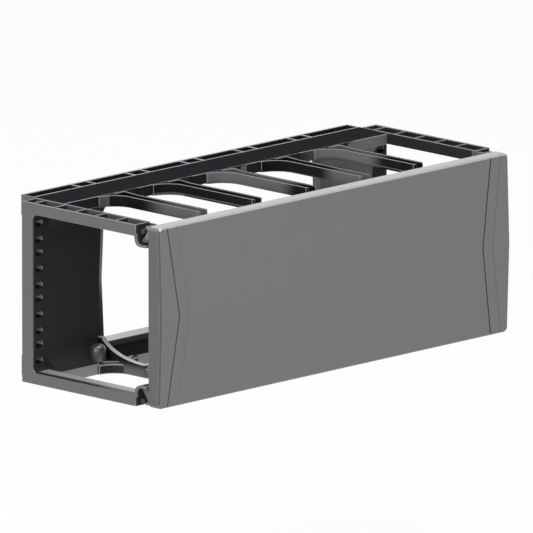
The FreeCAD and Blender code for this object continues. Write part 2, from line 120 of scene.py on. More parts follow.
def build_grain_group() -> None:
    """Build the fine spark texture of moulded plastic: a height for bump and a roughness that varies."""
    group = new_group(
        GroupName.GRAIN,
        [("Grain Scale", "NodeSocketFloat", 2600.0), ("Roughness", "NodeSocketFloat", 0.45),
         ("Spread", "NodeSocketFloat", 0.08)],
        [("Height", "NodeSocketFloat"), ("Roughness", "NodeSocketFloat")])
    nodes, links = group.nodes, group.links
    source, sink = nodes["Group Input"], nodes["Group Output"]
    place = nodes.new("ShaderNodeTexCoord")
    fine = nodes.new("ShaderNodeTexNoise")
    fine.inputs["Detail"].default_value = 3.0
    links.new(place.outputs["Object"], fine.inputs["Vector"])
    links.new(source.outputs["Grain Scale"], fine.inputs["Scale"])
    links.new(fine.outputs["Fac"], sink.inputs["Height"])
    cloud = nodes.new("ShaderNodeTexNoise")
    cloud.inputs["Scale"].default_value = 22.0
    cloud.inputs["Detail"].default_value = 4.0
    links.new(place.outputs["Object"], cloud.inputs["Vector"])
    centred = nodes.new("ShaderNodeMath")
    centred.operation = "SUBTRACT"
    centred.inputs[1].default_value = 0.5
    links.new(cloud.outputs["Fac"], centred.inputs[0])
    spread = nodes.new("ShaderNodeMath")
    spread.operation = "MULTIPLY_ADD"
    links.new(centred.outputs["Value"], spread.inputs[0])
    links.new(source.outputs["Spread"], spread.inputs[1])
    links.new(source.outputs["Roughness"], spread.inputs[2])
    links.new(spread.outputs["Value"], sink.inputs["Roughness"])


def build_tone_group() -> None:
    """Build a soft change from a deep to a pale tone along a direction, which paints light and shade, with a
    faint mottle.
    """
    group = new_group(
        GroupName.TONE,
        [("Deep", "NodeSocketColor", (0.02, 0.02, 0.02, 1.0)), ("Pale", "NodeSocketColor", (0.2, 0.2, 0.2, 1.0)),
         ("Direction", "NodeSocketVector", (0.0, -1.0, 0.0)), ("Start", "NodeSocketFloat", 0.0),
         ("End", "NodeSocketFloat", 0.1), ("Mottle", "NodeSocketFloat", 0.06)],
        [("Color", "NodeSocketColor")])
    nodes, links = group.nodes, group.links
    source, sink = nodes["Group Input"], nodes["Group Output"]
    place = nodes.new("ShaderNodeTexCoord")
    along = nodes.new("ShaderNodeVectorMath")
    along.operation = "DOT_PRODUCT"
    links.new(place.outputs["Object"], along.inputs[0])
    links.new(source.outputs["Direction"], along.inputs[1])
    reach = nodes.new("ShaderNodeMapRange")
    reach.interpolation_type = "SMOOTHSTEP"
    links.new(along.outputs["Value"], reach.inputs["Value"])
    links.new(source.outputs["Start"], reach.inputs["From Min"])
    links.new(source.outputs["End"], reach.inputs["From Max"])
    tone = nodes.new("ShaderNodeMix")
    tone.data_type = "RGBA"
    links.new(reach.outputs["Result"], tone.inputs["Factor"])
    links.new(source.outputs["Deep"], tone.inputs["A"])
    links.new(source.outputs["Pale"], tone.inputs["B"])
    cloud = nodes.new("ShaderNodeTexNoise")
    cloud.inputs["Scale"].default_value = 60.0
    cloud.inputs["Detail"].default_value = 5.0
    links.new(place.outputs["Object"], cloud.inputs["Vector"])
    depth = nodes.new("ShaderNodeMath")
    depth.operation = "MULTIPLY"
    links.new(cloud.outputs["Fac"], depth.inputs[0])
    links.new(source.outputs["Mottle"], depth.inputs[1])
    mottle = nodes.new("ShaderNodeMix")
    mottle.data_type = "RGBA"
    mottle.blend_type = "MULTIPLY"
    mottle.inputs["B"].default_value = (0.0, 0.0, 0.0, 1.0)
    links.new(depth.outputs["Value"], mottle.inputs["Factor"])
    links.new(tone.outputs["Result"], mottle.inputs["A"])
    links.new(mottle.outputs["Result"], sink.inputs["Color"])


@dataclass(frozen=True)
class PlasticFinish:
    """Moulded plastic with two tones along a direction, which paint light and shade, a fine grain and a satin
    gloss.

    Attributes:
        name: Name of the material.
        deep: Colour before the start of the change.
        pale: Colour past the end of the change.
        direction: Direction of the change.
        start: Place where the change starts, in metres along the direction.
        end: Place where the change ends, in metres along the direction.
        roughness: Middle roughness.
        gloss: Specular level.
        grain: Strength of the grain bump.
    """

    name: str
    deep: Colour
    pale: Colour
    direction: Triple = FRONT
    start: float = 0.0
    end: float = 0.1
    roughness: float = 0.42
    gloss: float = 0.3
    grain: float = 0.05

    def material(self) -> bpy.types.Material:
        """Return the material, which is built on first use."""
        known = bpy.data.materials.get(self.name)
        if known:
            return known
        material = bpy.data.materials.new(self.name)
        material.use_nodes = True
        nodes, links = material.node_tree.nodes, material.node_tree.links
        shader = nodes["Principled BSDF"]
        shader.inputs["Specular IOR Level"].default_value = self.gloss
        tone = self.group_node(nodes, GroupName.TONE)
        tone.inputs["Deep"].default_value = (*self.deep, 1.0)
        tone.inputs["Pale"].default_value = (*self.pale, 1.0)
        tone.inputs["Direction"].default_value = self.direction
        tone.inputs["Start"].default_value = self.start
        tone.inputs["End"].default_value = self.end
        links.new(tone.outputs["Color"], shader.inputs["Base Color"])
        grain = self.group_node(nodes, GroupName.GRAIN)
        grain.inputs["Roughness"].default_value = self.roughness
        links.new(grain.outputs["Roughness"], shader.inputs["Roughness"])
        bump = nodes.new("ShaderNodeBump")
        bump.inputs["Strength"].default_value = self.grain
        bump.inputs["Distance"].default_value = GRAIN_DEPTH
        links.new(grain.outputs["Height"], bump.inputs["Height"])
        links.new(bump.outputs["Normal"], shader.inputs["Normal"])
        return material

    @staticmethod
    def group_node(nodes: bpy.types.Nodes, name: GroupName) -> bpy.types.ShaderNode:
        """Place a shared node group in a material."""
        node = nodes.new("ShaderNodeGroup")
        node.node_tree = bpy.data.node_groups[name.value]
        return node


# CHARCOAL is the cover's own grey and BLACK the frame's own black; where the frame takes CHARCOAL, it is painted
# light.
CHARCOAL: Colour = (0.176, 0.170, 0.178)
BLACK: Colour = (0.0175, 0.0160, 0.0185)
# painted shade: a black deeper than the frame's own, for roots, channels and bands in shade, and for the dark end
# of a painted reflection
SHADE_BLACK: Colour = (0.012, 0.0110, 0.0125)
# ASH, PEWTER, SILVER, SHADE and BROW are greys of painted light and shade: lit, highlighted and shaded copies of
# the black frame and the charcoal cover.
ASH: Colour = (0.135, 0.130, 0.137)
PEWTER: Colour = (0.36, 0.35, 0.365)
SILVER: Colour = (0.62, 0.61, 0.62)
SHADE: Colour = (0.100, 0.096, 0.102)
INNER: Colour = (0.0340, 0.0315, 0.0352)
BROW: Colour = (0.37, 0.36, 0.375)
DUSK: Colour = (0.060, 0.057, 0.061)
# painted shade and light for the cover's grooves: SEAM and LINE darken groove walls turned from the light, STEP
# lightens a groove wall that faces it
SEAM: Colour = (0.040, 0.038, 0.041)
LINE: Colour = (0.068, 0.065, 0.069)
STEP: Colour = (0.195, 0.189, 0.197)
# painted highlight: light grey on lit edges, lines, lips, the bead and the knuckle crescents
HIGHLIGHT_GREY: Colour = (0.30, 0.29, 0.305)

# painted light and shade: the end frames' outer faces take the lit charcoal grey, the rest a shaded near black
LEFT_SHELL = PlasticFinish("left_shell_plastic", INNER, CHARCOAL, LEFT, 0.2394, 0.2408, 0.5, 0.03)
RIGHT_SHELL = PlasticFinish("right_shell_plastic", INNER, CHARCOAL, RIGHT, 0.2394, 0.2408, 0.5, 0.03)
# painted light and shade on the upper fingers: each side wall lit grey along one stretch and dark where shade or
# a neighbour's shadow falls
UPPER_FINGERS = (
    PlasticFinish("upper_finger_1_plastic", SHADE_BLACK, CHARCOAL, FRONT, -0.010, 0.030, 0.4, 0.04),
    PlasticFinish("upper_finger_2_plastic", SHADE_BLACK, BLACK, FRONT, -0.020, 0.060, 0.4, 0.04),
    PlasticFinish("upper_finger_3_plastic", SHADE_BLACK, CHARCOAL, REAR, -0.054, -0.030, 0.4, 0.04),
    PlasticFinish("upper_finger_4_plastic", SHADE_BLACK, CHARCOAL, FRONT, 0.012, 0.036, 0.4, 0.04),
    PlasticFinish("upper_finger_5_plastic", SHADE_BLACK, CHARCOAL, REAR, -0.028, -0.004, 0.4, 0.04))
# painted shade: the up-facing channel floors of the upper fingers, darker than the frame's black
CHANNEL = PlasticFinish("finger_channel_plastic", SHADE_BLACK, SHADE_BLACK, roughness=0.6, gloss=0.0)
# painted light: a lit grey on the front faces at the outer end of the first upper finger's flare
FLARE_END = PlasticFinish("flare_end_plastic", SHADE, SHADE, roughness=0.4, gloss=0.1)
# painted light: a lit strip along the lower left edge of upper fingers 2 and 5, brighter towards the tips
FINGER_FOOT = PlasticFinish("finger_foot_plastic", ASH, PEWTER, FRONT, -0.02, 0.03, 0.4, 0.1)
# painted shade and light: the lower fingers dark at the roots, lit grey towards the tips
LOWER_FINGER = PlasticFinish("lower_finger_plastic", SHADE_BLACK, ASH, FRONT, -0.048, 0.01, 0.3, 0.2)
RAIL = PlasticFinish("rail_plastic", BLACK, BLACK, roughness=0.6, gloss=0.0)
# painted light: the outer left ends of the rails in the lit charcoal grey
RAIL_END = PlasticFinish("rail_end_plastic", CHARCOAL, CHARCOAL, roughness=0.5, gloss=0.1)
# painted highlight: the line along the top of the upper rail's ridge
RIDGE_LINE = PlasticFinish("ridge_line_plastic", HIGHLIGHT_GREY, HIGHLIGHT_GREY, roughness=0.4, gloss=0.2)
# painted light: the front of the upper lip lit towards its right end, the front of the lower lip lit along its
# length
UPPER_LIP = PlasticFinish("upper_lip_plastic", BLACK, CHARCOAL, RIGHT, 0.095, 0.15, 0.4, 0.1)
LOWER_LIP = PlasticFinish("lower_lip_plastic", HIGHLIGHT_GREY, HIGHLIGHT_GREY, roughness=0.4, gloss=0.2)
LEFT_WING = PlasticFinish("left_wing_plastic", INNER, INNER, roughness=0.5, gloss=0.05)
# painted light: the bead lit grey along its upper part
BEAD = PlasticFinish("bead_plastic", INNER, HIGHLIGHT_GREY, UP, 0.055, 0.100, 0.4, 0.1)
# painted light and shade: the rib lit grey at its foot and in shade higher up, with a painted highlight on its
# faces that look up
RIB = PlasticFinish("rib_plastic", ASH, SHADE_BLACK, UP, 0.006, 0.015, 0.35, 0.2)
RIB_TOP = PlasticFinish("rib_top_plastic", SILVER, PEWTER, UP, 0.014, 0.032, 0.35, 0.2)
# painted light: the boss in a dark grey lighter than the frame's black, so that it looks lit; its highlight comes
# from its gloss
BOSS = PlasticFinish("boss_plastic", DUSK, DUSK, roughness=0.25, gloss=1.0)
# painted light: the right wing lit grey along its upper part
RIGHT_WING = PlasticFinish("right_wing_plastic", BLACK, CHARCOAL, UP, 0.095, 0.13, 0.4, 0.1)
COVER_FACE = PlasticFinish("cover_plastic", CHARCOAL, CHARCOAL, roughness=0.5, gloss=0.3, grain=0.08)
# painted light and shade on the cover: a lit top and brow, a shaded left end and left vertical edge, and a
# highlight at the upper left corner
COVER_TOP = PlasticFinish("cover_top_plastic", PEWTER, PEWTER, roughness=0.4, gloss=0.4)
COVER_BROW = PlasticFinish("cover_brow_plastic", BROW, BROW, roughness=0.45, gloss=0.3)
COVER_END = PlasticFinish("cover_end_plastic", ASH, ASH, roughness=0.5, gloss=0.3)
COVER_CORNER = PlasticFinish("cover_corner_plastic", SILVER, SILVER, roughness=0.3, gloss=0.5)
COVER_SIDE = PlasticFinish("cover_side_plastic", SHADE, SHADE, roughness=0.4, gloss=0.3)
PIN = PlasticFinish("pin_plastic", BLACK, BLACK, roughness=0.3, gloss=0.5)
# painted highlight: a crescent near the top of the upper knuckles; their up-facing tops take a painted shade
KNUCKLE = PlasticFinish("knuckle_plastic", CHARCOAL, HIGHLIGHT_GREY, UP, 0.160, 0.166, 0.3, 0.5)
KNUCKLE_TOP = PlasticFinish("knuckle_top_plastic", ASH, ASH, roughness=0.5, gloss=0.15)
# painted light: lit grey on the walls of the arm cells, the end of the upper right arm and the tops of the hinges
CELL_WALL = PlasticFinish("cell_wall_plastic", ASH, ASH, roughness=0.4, gloss=0.2)
# painted light: lit grey on the slot walls that look down and to the left
SLOT_WALL = PlasticFinish("slot_wall_plastic", PEWTER, PEWTER, roughness=0.4, gloss=0.3)
# painted light and shade: the front of the lower ridge lit at its top, in shade at its foot
RIDGE_FRONT = PlasticFinish("ridge_front_plastic", SHADE_BLACK, ASH, UP, 0.012, 0.020, 0.4, 0.05)
# painted reflection: the inner top of the lower left arm dark at its outer edge and light grey inwards
ARM_TOP = PlasticFinish("arm_top_plastic", SHADE_BLACK, PEWTER, RIGHT, -0.2375, -0.2300, 0.4, 0.3)
# painted light: the top of the lower ridge, brightest towards the left
RIDGE_TOP = PlasticFinish("ridge_top_plastic", SILVER, PEWTER, RIGHT, -0.14, 0.0, roughness=0.3, gloss=0.4)
# painted shade in two of the cover's grooves and painted light in one
SEAM_SHADE = PlasticFinish("cover_seam_shade", SEAM, SEAM, roughness=0.6, gloss=0.1)
SEAM_SOFT_SHADE = PlasticFinish("cover_soft_seam_shade", LINE, LINE, roughness=0.6, gloss=0.1)
SEAM_LIGHT = PlasticFinish("cover_step_light", STEP, STEP, roughness=0.4, gloss=0.3)
# painted highlight on the rounded edges
EDGE_HIGHLIGHT = PlasticFinish("edge_highlight", HIGHLIGHT_GREY, HIGHLIGHT_GREY, roughness=0.4, gloss=0.3)


def only(obj: bpy.types.Object) -> None:
    """Select one object and make it active.

    Args:
        obj: The object.
    """
    if bpy.context.object and bpy.context.object.mode != "OBJECT":
        bpy.ops.object.mode_set(mode="OBJECT")
    bpy.ops.object.select_all(action="DESELECT")
    obj.select_set(True)
    bpy.context.view_layer.objects.active = obj


def apply_modifier(obj: bpy.types.Object, modifier: bpy.types.Modifier) -> None:
    """Apply a modifier to its object."""
    only(obj)
    bpy.ops.object.modifier_apply(modifier=modifier.name)


def around(value: float, reach: float = SLACK) -> Span:
    """Return the span that reaches as far below a value as above it."""
    return value - reach, value + reach


@dataclass(frozen=True)
class Zone:
    """A box in metres that picks corners, edges or faces by their places.

    Attributes:
        x: Limits along X.
        y: Limits along Y.
        z: Limits along Z.
    """

    x: Span = ALL
    y: Span = ALL
    z: Span = ALL

    def holds(self, point: Vector) -> bool:
        """Return whether a point lies in the box."""
        return all(low <= value <= high for (low, high), value in zip((self.x, self.y, self.z), point))

    def mirrored(self) -> "Zone":
        """Return the same box on the other side of the middle."""
        return Zone((-self.x[1], -self.x[0]), self.y, self.z)


@dataclass(frozen=True)
class Patch:
    """Faces of a piece that take a finish of their own.

    Attributes:
        finish: Finish of the faces.
        zone: Box that holds the middles of the faces.
        facing: Direction that the faces point in, or none for any direction.
        nearness: Least cosine between that direction and a face.
        area: Greatest area of such a face in square metres.
        edges: Whether the patch takes rounded edges rather than faces.
    """

    finish: PlasticFinish
    zone: Zone
    facing: Triple | None = None
    nearness: float = 0.8
    area: float = 1.0
    edges: bool = False

    def takes(self, face: bmesh.types.BMFace) -> bool:
        """Return whether a face belongs to the patch."""
        if face.calc_area() > self.area or not self.zone.holds(face.calc_center_median()):
            return False
        return self.facing is None or face.normal.dot(Vector(self.facing)) > self.nearness


@dataclass
class DressedNode:
    """A CAD piece with rounded edges that stands for its node; most of its edges take a painted highlight.

    Attributes:
        node: Name of the CAD node.
        body: Body that it rides on.
        slot: Material slot of the record; not used.
        finish: Finish of its faces.
        edge: Finish of its rounded edges, by default a painted highlight.
        width: Width of the rounded edges in metres.
        segments: Steps across a rounded edge.
        flush: Boxes whose edges meet a neighbour flush, or are too close for rounding, and stay as they are.
        creases: Boxes whose edges stay sharp in the shading.
        kept: Boxes whose corners keep all their edges, around openings in a flat face.
        cuts: Planes, each by a point and a normal, at which the faces are split.
        patches: Faces with a finish of their own.
    """

    node: str
    body: Rider
    slot: Slot
    finish: PlasticFinish
    edge: PlasticFinish = EDGE_HIGHLIGHT
    width: float = 0.00045
    segments: int = 2
    flush: tuple[Zone, ...] = ()
    creases: tuple[Zone, ...] = ()
    kept: tuple[Zone, ...] = ()
    cuts: tuple[tuple[Triple, Triple], ...] = ()
    patches: tuple[Patch, ...] = ()

    def mark_edges(self, mesh: bpy.types.Mesh) -> None:
        """Give sharp outward edges a bevel weight and keep creases sharp.

        Args:
            mesh: The mesh to mark.
        """
        work = bmesh.new()
        work.from_mesh(mesh)
        weight = work.edges.layers.float.new("bevel_weight_edge")
        for edge in work.edges:
            middle = (edge.verts[0].co + edge.verts[1].co) / 2
            sharp = edge.is_manifold and edge.calc_face_angle_signed(0.0) > SHARP_ANGLE
            if sharp and not any(zone.holds(middle) for zone in self.flush):
                edge[weight] = 1.0
            if any(zone.holds(middle) for zone in self.creases):
                edge.smooth = False
        work.to_mesh(mesh)
        work.free()

    def pick_corners(self, mesh: bpy.types.Mesh) -> None:
        """Select all but the corners, and their edges, that the merging of flat faces leaves alone.

        Args:
            mesh: The mesh to select in.
        """
        for corner in mesh.vertices:
            corner.select = not any(zone.holds(corner.co) for zone in self.kept)
        for edge in mesh.edges:
            edge.select = all(mesh.vertices[number].select for number in edge.vertices)
        for face in mesh.polygons:
            face.select = all(mesh.vertices[number].select for number in face.vertices)

    def mark_faces(self, mesh: bpy.types.Mesh) -> None:
        """Give the faces or rounded edges of each patch their finish.

        Args:
            mesh: The mesh to mark.
        """
        work = bmesh.new()
        work.from_mesh(mesh)
        for face in work.faces:
            rounded = face.material_index == 1
            for number, patch in enumerate(self.patches, start=2):
                if rounded == patch.edges and patch.takes(face):
                    face.material_index = number
        work.to_mesh(mesh)
        work.free()

    def build(self) -> bpy.types.Object:
        """Copy the node's mesh, merge it, round its outward edges and mark its patches.

        Returns:
            The finished piece, in place.
        """
        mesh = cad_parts[self.node].data.copy()
        mesh.name = f"{self.node}_moulding"
        mesh.materials.clear()
        piece = bpy.data.objects.new(f"{self.node}_moulding", mesh)
        bpy.context.scene.collection.objects.link(piece)
        only(piece)
        bpy.ops.object.mode_set(mode="EDIT")
        bpy.ops.mesh.select_all(action="SELECT")
        bpy.ops.mesh.remove_doubles(threshold=MERGE_DISTANCE)
        bpy.ops.object.mode_set(mode="OBJECT")
        self.pick_corners(mesh)
        bpy.ops.object.mode_set(mode="EDIT")
        bpy.ops.mesh.dissolve_limited(angle_limit=FLAT_ANGLE)
        bpy.ops.object.mode_set(mode="OBJECT")
        for finish in (self.finish, self.edge, *(patch.finish for patch in self.patches)):
            mesh.materials.append(finish.material())
        self.mark_edges(mesh)
        bevel = piece.modifiers.new("rounded edges", "BEVEL")
        bevel.limit_method = "WEIGHT"
        bevel.width = self.width
        bevel.segments = self.segments
        bevel.use_clamp_overlap = False
        bevel.material = 1
        apply_modifier(piece, bevel)
        bpy.ops.object.mode_set(mode="EDIT")
        for point, normal in self.cuts:
            bpy.ops.mesh.select_all(action="SELECT")
            bpy.ops.mesh.bisect(plane_co=point, plane_no=normal)
        bpy.ops.object.mode_set(mode="OBJECT")
        self.mark_faces(piece.data)
        bpy.ops.object.shade_smooth_by_angle(angle=SMOOTH_ANGLE)
        even = piece.modifiers.new("even shading", "WEIGHTED_NORMAL")
        even.keep_sharp = True
        apply_modifier(piece, even)
        return piece

    def place(self) -> bpy.types.Object:
        """Build the piece, tie it to its body and hide the node that it stands for."""
        piece = self.build()
        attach(piece, self.body.value)
        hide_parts(self.node)
        log.info("%s rides on %s", piece.name, self.body.value)
        return piece


@dataclass
class OpenFrame:
    """End frames, rear wings, rails, fingers and pins.

    Attributes:
        fingers: Fingers along each edge.
        height: Height of the frame.
        post: Front and rear of the rack posts along Y.
        arm_inner: Inner side of the arms along X.
        arm_outer: Just inside the outer side of the arms along X.
        arm_front: In front of the arms along Y.
        arm_depth: Depth of a box that holds an arm, from the base or the top.
        arm_foot: Height of the lower side of the upper arms.
        arm_edge: Reach of a box round an edge of an arm or a post.
        column: Inner and outer limit of the slots along X.
        slot_margin: Height below the lowest slot and above the highest one.
        cell_wall: Side of the arm cells that faces outwards, along X.
        upper_half: Height above which only the upper arms lie.
        right_end: Y in front of which the end of the upper right arm takes a painted light.
        corner: How far before the posts the rear corner of an arm starts.
        skin: Depth of a box at the top or the base of the part.
        axis: Height of the lower hinge pins, and depth of the upper ones below the top.
        hinge: Front and rear of the hinge lugs along Y.
        hinge_reach: Half the height of a hinge lug.
        pin_edge: Width of the rounded edges of a pin.
        ridge: Front and rear of the ridge behind the posts along Y.
        ridge_height: Height of that ridge.
        root: Root of the fingers along Y.
        flare: Start of their flares along Y.
        flare_end: Width of the end of the first flare that takes a painted light.
        flare_reach: Reach of a box that holds one side of a flare, along X.
        pitch: Distance between two fingers.
        half_finger: Half the width of a finger.
        half_flare: Half the width of its flare.
        plain_depth: Depth below the top under which upper fingers have plain edges.
        foot_depth: Depth below the top of the foot of some upper fingers, which takes a painted light.
        window: Front and rear of the windows of the lower fingers along Y.
        half_window: Half the width of such a window.
        tip: Rear of a box round the tip of a lower finger along Y.
        tip_height: Height of that box.
        finger_edge: Width of the rounded edges of the lower fingers.
        wing_rim: Where the rim of a wing starts along X.
        sweep: Height of the sweep from a wing to a rail, above the base and below the top.
    """

    fingers: int = 5
    height: float = 0.176
    post: Span = (0.0667, 0.0812)
    arm_inner: float = 0.2213
    arm_outer: float = 0.2409
    arm_front: float = -0.085
    arm_depth: float = 0.012
    arm_foot: float = 0.1648
    arm_edge: float = 0.0006
    column: Span = (0.2265, 0.2385)
    slot_margin: float = 0.01
    cell_wall: float = 0.2235
    upper_half: float = 0.15
    right_end: float = -0.066
    corner: float = 0.004
    skin: float = 0.0005
    axis: float = 0.006
    hinge: Span = (-0.0848, -0.0706)
    hinge_reach: float = 0.0065
    pin_edge: float = 0.0003
    ridge: Span = (0.0837, 0.1017)
    ridge_height: float = 0.020
    root: float = 0.0472
    flare: float = 0.0245
    flare_end: float = 0.011
    flare_reach: float = 0.03
    pitch: float = 0.07335
    half_finger: float = 0.0066
    half_flare: float = 0.0265
    plain_depth: float = 0.009
    foot_depth: float = 0.0095
    window: Span = (-0.0598, -0.0402)
    half_window: float = 0.0032
    tip: float = -0.066
    tip_height: float = 0.008
    finger_edge: float = 0.0008
    wing_rim: float = 0.156
    sweep: float = 0.036

    def hinge_lugs(self) -> tuple[Zone, ...]:
        """Return the boxes that hold the hinge lugs of the right side."""
        return tuple(Zone((0.0, FAR), self.hinge, around(axis, self.hinge_reach))
                     for axis in (self.axis, self.height - self.axis))

    @staticmethod
    def slot_walls(walls: Zone) -> Patch:
        """Return the patch of the slot walls that look down and to the left, which take a painted light."""
        return Patch(SLOT_WALL, walls, LEFT_DOWN, 0.6)

    def end_frame(self, side: str) -> DressedNode:
        """Return an end frame: plain slot rims, slot walls with painted light and a flush inner edge."""
        front, rear = self.post
        past_post = (front - MARGIN, rear + MARGIN)
        slot_heights = (self.slot_margin, self.height - self.slot_margin)
        slots = Zone(self.column, past_post, slot_heights)
        walls = Zone(self.column, (front + MARGIN, rear - MARGIN), slot_heights)
        inner = Zone(around(self.arm_inner), past_post, (self.arm_depth, self.height - self.arm_depth))
        # painted light on the hinge tops
        hinge_top = Patch(CELL_WALL, Zone(y=(-FAR, self.hinge[1]), z=(self.height - self.axis, FAR)), UP)
        if side == "right":
            # painted light on the end of the upper right arm
            arm_end = Zone((0.0, FAR), (-FAR, self.right_end), (self.upper_half, FAR))
            return DressedNode(
                "right_end_frame", Rider.FRAME, Slot.FRAME_BLACK, RIGHT_SHELL,
                flush=(slots, inner, *self.hinge_lugs()), cuts=(((0.0, self.right_end, 0.0), REAR),),
                patches=(self.slot_walls(walls), Patch(CELL_WALL, arm_end, LEFT), hinge_top))
        outside = (-FAR, -self.arm_outer)
        low_arm = self.height - self.arm_foot
        post_edge = Zone(outside, around(front, self.arm_edge), (self.arm_depth, self.arm_foot - MARGIN))
        low_edge = Zone(outside, (self.arm_front, front - 2 * MARGIN), around(low_arm, self.arm_edge))
        # painted reflection on the inner top of the lower arm
        low_top = Zone(y=(self.arm_front, front), z=around(low_arm, 2 * SLACK))
        # painted light on the walls of the arm cells
        cells = Zone(around(self.cell_wall), (self.arm_front, rear + MARGIN),
                     (self.height - self.arm_depth, self.height + MARGIN))
        corners = tuple(Zone((-FAR, 0.0), (front - self.corner, FAR), heights)
                        for heights in ((self.height - self.skin, FAR), (-FAR, self.skin)))
        return DressedNode(
            "left_end_frame", Rider.FRAME, Slot.FRAME_BLACK, LEFT_SHELL,
            flush=(slots.mirrored(), inner.mirrored(), post_edge, low_edge,
                   *(lug.mirrored() for lug in self.hinge_lugs())),
            kept=corners,
            patches=(self.slot_walls(walls.mirrored()), Patch(CELL_WALL, cells.mirrored(), LEFT), hinge_top,
                     Patch(ARM_TOP, low_top, UP)))

    def wing(self, side: str) -> DressedNode:
        """Return a rear wing, whose edges are rounded along its rim alone."""
        sweeps = (Zone(z=(-FAR, self.sweep)), Zone(z=(self.height - self.sweep, FAR)))
        joined = Zone(x=(self.wing_rim, FAR))
        finish = RIGHT_WING
        if side == "left":
            joined = joined.mirrored()
            finish = LEFT_WING
        return DressedNode(f"{side}_rear_wing", Rider.FRAME, Slot.FRAME_BLACK, finish, flush=(joined, *sweeps))

    def rail(self, edge: str) -> DressedNode:
        """Return a rail: flush ends, and painted light on its left end, on a line before the pockets, on the lip
        and on the top and front of the ridge, whose foot is in painted shade.
        """
        end = Zone(x=(self.arm_inner - SLACK, FAR))
        start, rear = self.ridge
        line = Zone(y=(start, FAR), z=around(self.height, self.skin))
        inside = Zone(y=(start - MARGIN, rear + MARGIN), z=around(self.ridge_height))
        front = Zone(y=around(start, MARGIN), z=(0.0, self.ridge_height))
        lip = Zone(y=around(self.root))
        lip_finish = UPPER_LIP if edge == "top" else LOWER_LIP
        return DressedNode(
            f"{edge}_rail", Rider.FRAME, Slot.FRAME_BLACK, RAIL, flush=(end, end.mirrored()),
            cuts=(((0.0, start, 0.0), REAR),),
            # painted light, highlight and shade on the ridge, the lip and the left end
            patches=(Patch(RIDGE_LINE, line, UP), Patch(RIDGE_TOP, inside, UP), Patch(RIDGE_FRONT, front, FRONT),
                     Patch(lip_finish, lip, FRONT), Patch(RAIL_END, end.mirrored(), LEFT)))

    def lower_finger(self, number: int) -> DressedNode:
        """Return a lower finger with a flush root and plain windows."""
        windows = Zone(around(self.middle(number), self.half_window), self.window)
        tip = Zone(y=(-FAR, self.tip), z=(-FAR, self.tip_height))
        return DressedNode(
            f"bottom_finger_{number}", Rider.FRAME, Slot.FRAME_BLACK, LOWER_FINGER, width=self.finger_edge,
            segments=3, flush=(self.joined_root(), windows, tip), kept=(windows,))

    def upper_finger(self, number: int) -> DressedNode:
        """Return an upper finger with a flush root, and plain edges below and on the far flare."""
        middle = self.middle(number)
        below = Zone(z=(-FAR, self.height - self.plain_depth))
        far_flare = Zone((middle + self.half_finger, middle + self.flare_reach), (self.flare, FAR))
        # painted shade on the channel floors
        patches = [Patch(CHANNEL, Zone(), UP)]
        cuts = []
        if number == 1:
            # painted light at the outer end of the flare
            flare_end = Zone((-FAR, middle - self.half_flare + self.flare_end), (self.flare, FAR))
            patches.append(Patch(FLARE_END, flare_end, FRONT, 0.3))
        if number in (2, 5):
            # painted light on the foot below a cut
            foot = self.height - self.foot_depth
            cuts.append(((0.0, 0.0, foot), UP))
            patches.append(Patch(FINGER_FOOT, Zone(x=(-FAR, middle), z=(-FAR, foot)), LEFT_FRONT, 0.5))
        return DressedNode(
            f"top_finger_{number}", Rider.FRAME, Slot.FRAME_BLACK, UPPER_FINGERS[number - 1],
            flush=(self.joined_root(), below, far_flare), cuts=tuple(cuts), patches=tuple(patches))

    def middle(self, number: int) -> float:
        """Return the middle of a finger along X."""
        return (number - (self.fingers + 1) / 2) * self.pitch

    def joined_root(self) -> Zone:
        """Return the box where a finger meets its rail."""
        return Zone(y=(self.root - SLACK, FAR))

    def build(self) -> None:
        """Build and place every piece of the frame."""
        for side in ("left", "right"):
            self.end_frame(side).place()
            self.wing(side).place()
            for edge, body in (("upper", Rider.FRAME), ("lower", Rider.LOWER_PINS)):
                DressedNode(f"{edge}_{side}_pin", body, Slot.PIN_BLACK, PIN, PIN, self.pin_edge).place()
        for edge, finger in (("top", self.upper_finger), ("bottom", self.lower_finger)):
            self.rail(edge).place()
            for number in range(1, self.fingers + 1):
                finger(number).place()


